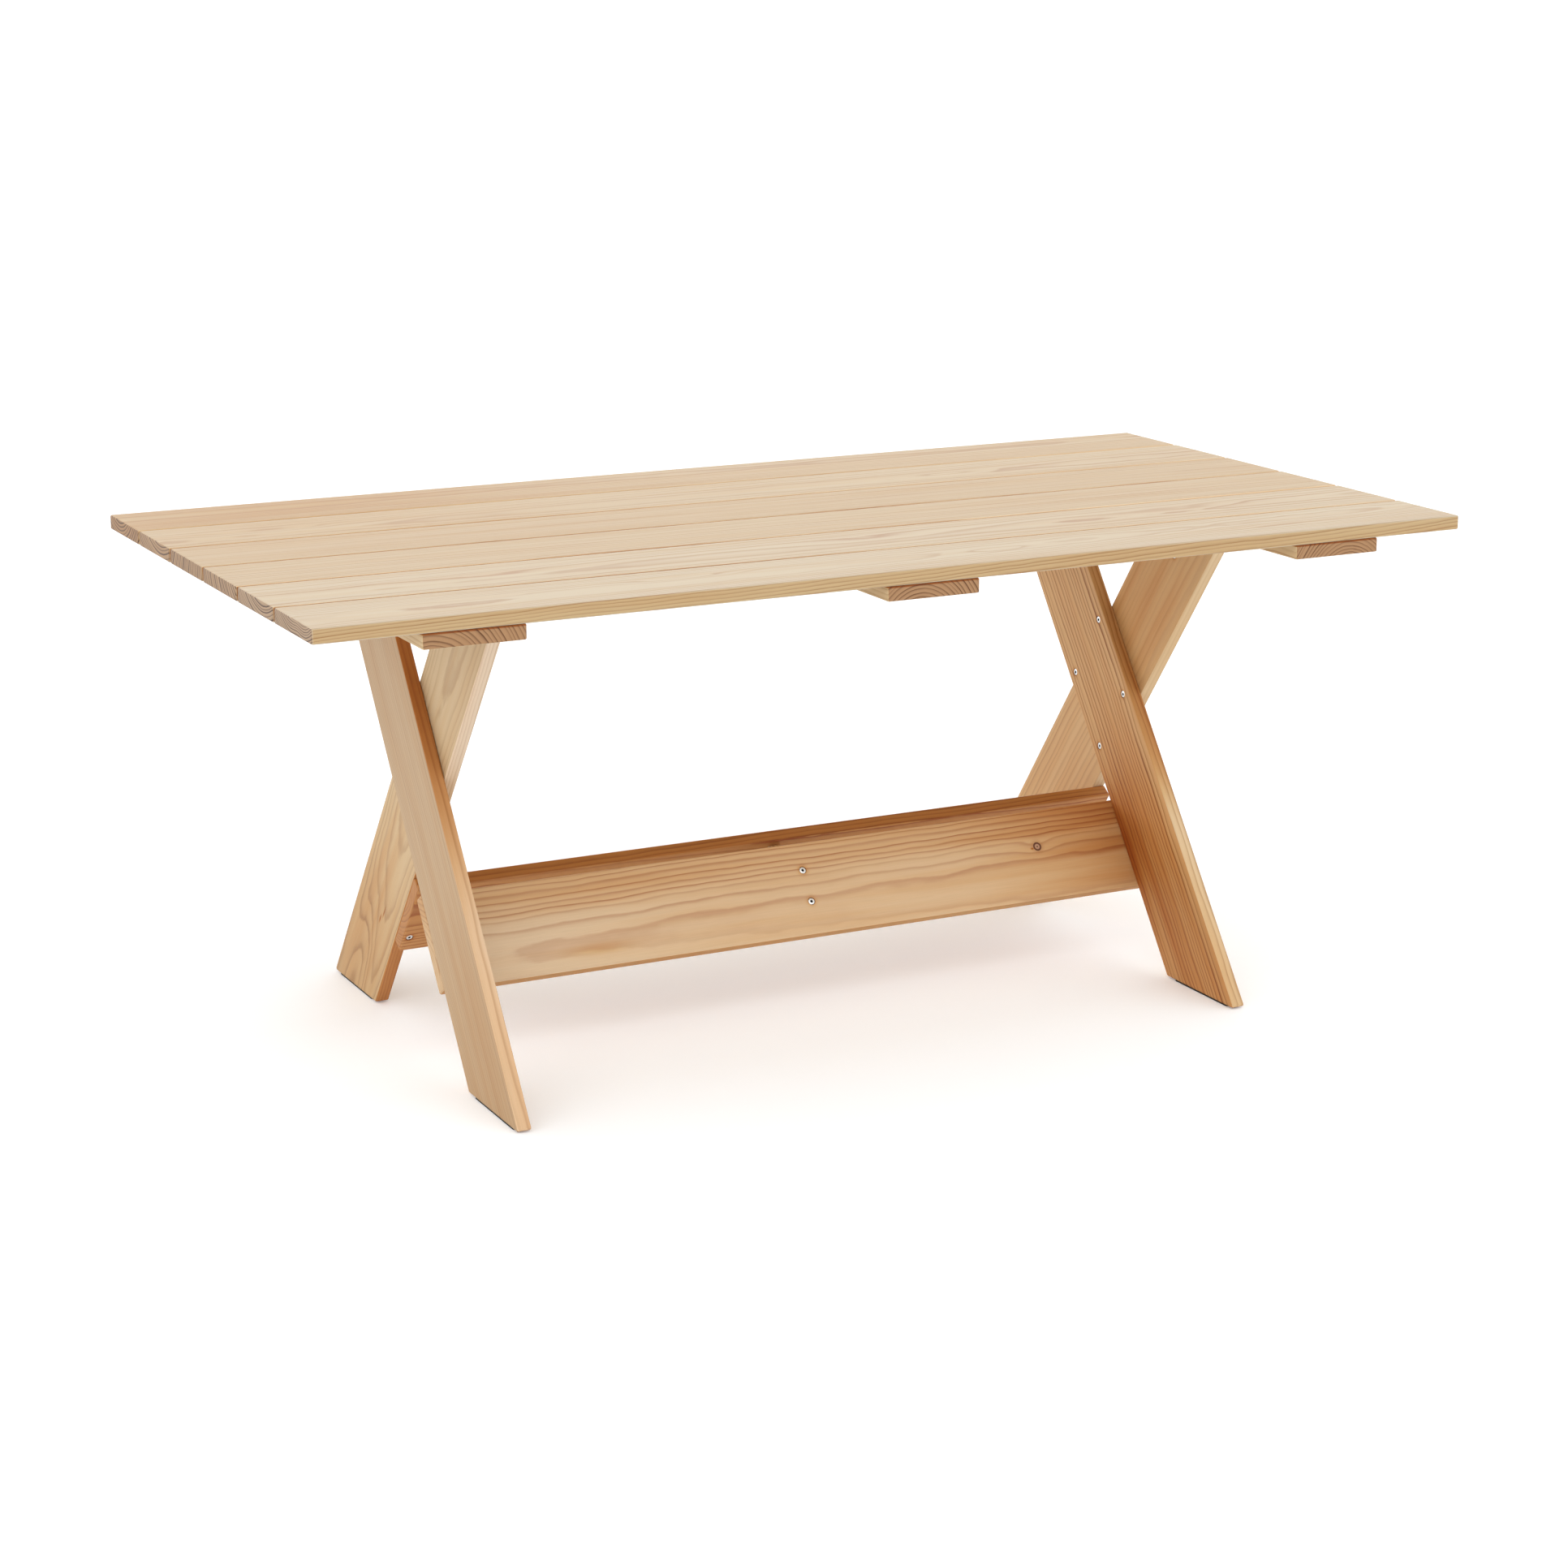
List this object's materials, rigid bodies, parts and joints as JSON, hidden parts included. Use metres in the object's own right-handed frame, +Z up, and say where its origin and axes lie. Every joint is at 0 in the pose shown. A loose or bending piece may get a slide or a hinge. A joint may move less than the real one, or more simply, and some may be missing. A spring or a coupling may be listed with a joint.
{
  "type": "picnic table",
  "caption": "Long picnic table of planed softwood boards: slatted top on battens, crossed-leg trestles and a ridge of two stretcher boards, screwed rigidly together.",
  "frame": {"origin": "on the floor under the middle of the table top", "axes": "+X along the top, +Y across it towards the rear edge, +Z up"},
  "size_m": [1.8, 0.895, 0.74],
  "materials": {
    "top_timber": "planed pale spruce, unvarnished, fine straight grain",
    "batten_timber": "planed spruce, unvarnished, end grain pinkish brown",
    "leg_timber": "planed spruce, unvarnished, plain-sawn faces",
    "stretcher_timber": "planed spruce, unvarnished, warmer tone, one small knot",
    "steel": "bright zinc-plated steel",
    "pad": "matt black rubber"
  },
  "bodies": {
    "root": {"top_board_1": "top_timber", "top_board_2": "top_timber", "top_board_3": "top_timber", "top_board_4": "top_timber", "top_board_5": "top_timber", "top_board_6": "top_timber", "batten_left": "batten_timber", "batten_middle": "batten_timber", "batten_right": "batten_timber", "leg_left_outer": "leg_timber", "foot_pad_left_outer": "pad", "leg_bolt_left_outer": "steel", "leg_bracket_left_outer": "steel", "leg_nut_left_outer": "steel", "bracket_screw_left_outer_1": "steel", "bracket_screw_left_outer_2": "steel", "leg_left_inner": "leg_timber", "foot_pad_left_inner": "pad", "leg_bolt_left_inner": "steel", "leg_bracket_left_inner": "steel", "leg_nut_left_inner": "steel", "bracket_screw_left_inner_1": "steel", "bracket_screw_left_inner_2": "steel", "crossing_screw_left_1": "steel", "crossing_screw_left_2": "steel", "crossing_screw_left_3": "steel", "crossing_screw_left_4": "steel", "leg_right_outer": "leg_timber", "foot_pad_right_outer": "pad", "leg_bolt_right_outer": "steel", "leg_bracket_right_outer": "steel", "leg_nut_right_outer": "steel", "bracket_screw_right_outer_1": "steel", "bracket_screw_right_outer_2": "steel", "leg_right_inner": "leg_timber", "foot_pad_right_inner": "pad", "leg_bolt_right_inner": "steel", "leg_bracket_right_inner": "steel", "leg_nut_right_inner": "steel", "bracket_screw_right_inner_1": "steel", "bracket_screw_right_inner_2": "steel", "crossing_screw_right_1": "steel", "crossing_screw_right_2": "steel", "crossing_screw_right_3": "steel", "crossing_screw_right_4": "steel", "stretcher_front": "stretcher_timber", "spacer_screw_front_1": "steel", "spacer_screw_front_2": "steel", "stretcher_screw_front_near_1": "steel", "stretcher_screw_front_near_2": "steel", "stretcher_screw_front_far_1": "steel", "stretcher_screw_front_far_2": "steel", "stretcher_rear": "stretcher_timber", "spacer_screw_rear_1": "steel", "spacer_screw_rear_2": "steel", "stretcher_screw_rear_near_1": "steel", "stretcher_screw_rear_near_2": "steel", "stretcher_screw_rear_far_1": "steel", "stretcher_screw_rear_far_2": "steel", "stretcher_spacer": "stretcher_timber"}
  },
  "joints": []
}
